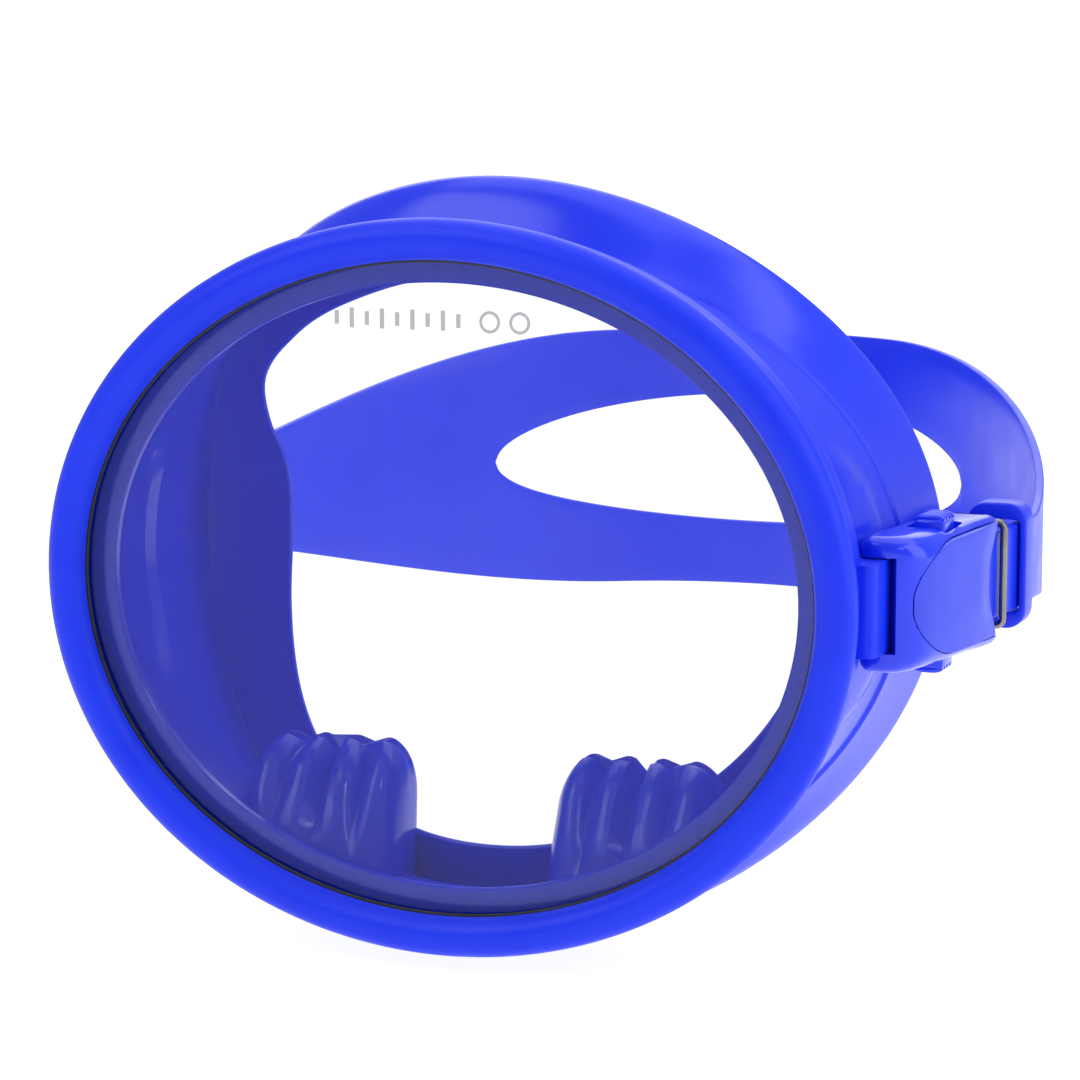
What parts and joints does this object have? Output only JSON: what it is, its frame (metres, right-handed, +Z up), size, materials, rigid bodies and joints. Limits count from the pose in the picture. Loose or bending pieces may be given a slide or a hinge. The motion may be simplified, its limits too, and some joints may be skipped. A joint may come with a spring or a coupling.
{
  "type": "diving mask",
  "caption": "Oval single-lens diving mask with a soft skirt, ribbed finger wells, a split head strap and swivelling quick-release buckles.",
  "frame": {"origin": "centre of the glass's front face", "axes": "-Y the way the lens looks, +Z up, +X towards the wearer's left"},
  "size_m": [0.1936, 0.2065, 0.1503],
  "materials": {
    "ring_plastic": "satin blue",
    "lens_glass": "clear tempered",
    "gasket_rubber": "matt black",
    "skirt_silicone": "smooth blue silicone",
    "strap_silicone": "smooth blue silicone",
    "buckle_plastic": "glossy blue",
    "cover_plastic": "satin blue",
    "button_plastic": "glossy blue",
    "roller_plastic": "glossy blue",
    "keeper_plastic": "satin blue",
    "pin_steel": "ground",
    "frame_steel": "polished wire",
    "spring_steel": "drawn wire"
  },
  "bodies": {
    "mask": {"front_ring": "ring_plastic", "rear_ring": "ring_plastic", "lens": "lens_glass", "lens_gasket": "gasket_rubber", "skirt": "skirt_silicone", "head_strap": "strap_silicone"},
    "buckle_left": {"buckle_body_left": "buckle_plastic", "buckle_cover_left": "cover_plastic", "pivot_pin_left": "pin_steel", "roller_pin_left": "pin_steel", "strap_end_left": "strap_silicone", "button_spring_top_left": "spring_steel", "button_spring_bottom_left": "spring_steel"},
    "buckle_right": {"buckle_body_right": "buckle_plastic", "buckle_cover_right": "cover_plastic", "pivot_pin_right": "pin_steel", "roller_pin_right": "pin_steel", "strap_end_right": "strap_silicone", "button_spring_top_right": "spring_steel", "button_spring_bottom_right": "spring_steel"},
    "button_top_left": {"release_button_top_left": "button_plastic"},
    "button_top_right": {"release_button_top_right": "button_plastic"},
    "button_bottom_left": {"release_button_bottom_left": "button_plastic"},
    "button_bottom_right": {"release_button_bottom_right": "button_plastic"},
    "latch_left": {"latch_frame_left": "frame_steel"},
    "latch_right": {"latch_frame_right": "frame_steel"},
    "roller_left": {"strap_roller_left": "roller_plastic"},
    "roller_right": {"strap_roller_right": "roller_plastic"},
    "keeper_left": {"strap_keeper_left": "keeper_plastic"},
    "keeper_right": {"strap_keeper_right": "keeper_plastic"}
  },
  "joints": [
    {"name": "swivel_left", "type": "hinge", "parent": "mask", "child": "buckle_left", "pos_m": [0.0809, 0.016, 0], "axis": [0, 0, -1], "range_deg": [0, 24]},
    {"name": "swivel_right", "type": "hinge", "parent": "mask", "child": "buckle_right", "pos_m": [-0.0809, 0.016, 0], "axis": [0, 0, 1], "range_deg": [0, 24]},
    {"name": "press_top_left", "type": "slide", "parent": "buckle_left", "child": "button_top_left", "axis": [0, 0, -1], "range_m": [0, 0.0018], "stiffness_N_per_m": 400, "deforming": ["button_spring_top_left"]},
    {"name": "press_top_right", "type": "slide", "parent": "buckle_right", "child": "button_top_right", "axis": [0, 0, -1], "range_m": [0, 0.0018], "stiffness_N_per_m": 400, "deforming": ["button_spring_top_right"]},
    {"name": "press_bottom_left", "type": "slide", "parent": "buckle_left", "child": "button_bottom_left", "axis": [0, 0, 1], "range_m": [0, 0.0018], "stiffness_N_per_m": 400, "deforming": ["button_spring_bottom_left"]},
    {"name": "press_bottom_right", "type": "slide", "parent": "buckle_right", "child": "button_bottom_right", "axis": [0, 0, 1], "range_m": [0, 0.0018], "stiffness_N_per_m": 400, "deforming": ["button_spring_bottom_right"]},
    {"name": "latch_tilt_left", "type": "hinge", "parent": "buckle_left", "child": "latch_left", "pos_m": [0.0828, 0.0577, 0], "axis": [0, 0, 1], "range_deg": [-7, 7]},
    {"name": "latch_tilt_right", "type": "hinge", "parent": "buckle_right", "child": "latch_right", "pos_m": [-0.0828, 0.0577, 0], "axis": [0, 0, -1], "range_deg": [-7, 7]},
    {"name": "roller_spin_left", "type": "hinge", "parent": "buckle_left", "child": "roller_left", "pos_m": [0.0882, 0.045, 0], "axis": [0, 0, 1], "continuous": true},
    {"name": "roller_spin_right", "type": "hinge", "parent": "buckle_right", "child": "roller_right", "pos_m": [-0.0882, 0.045, 0], "axis": [0, 0, -1], "continuous": true},
    {"name": "keeper_slide_left", "type": "slide", "parent": "buckle_left", "child": "keeper_left", "axis": [0.0936, 0.9956, 0], "range_m": [-0.002, 0.003]},
    {"name": "keeper_slide_right", "type": "slide", "parent": "buckle_right", "child": "keeper_right", "axis": [-0.0936, 0.9956, 0], "range_m": [-0.002, 0.003]}
  ],
  "couplings": [
    {"joint": "press_bottom_left", "follows": "press_top_left", "ratio": 1},
    {"joint": "press_bottom_right", "follows": "press_top_right", "ratio": 1}
  ]
}
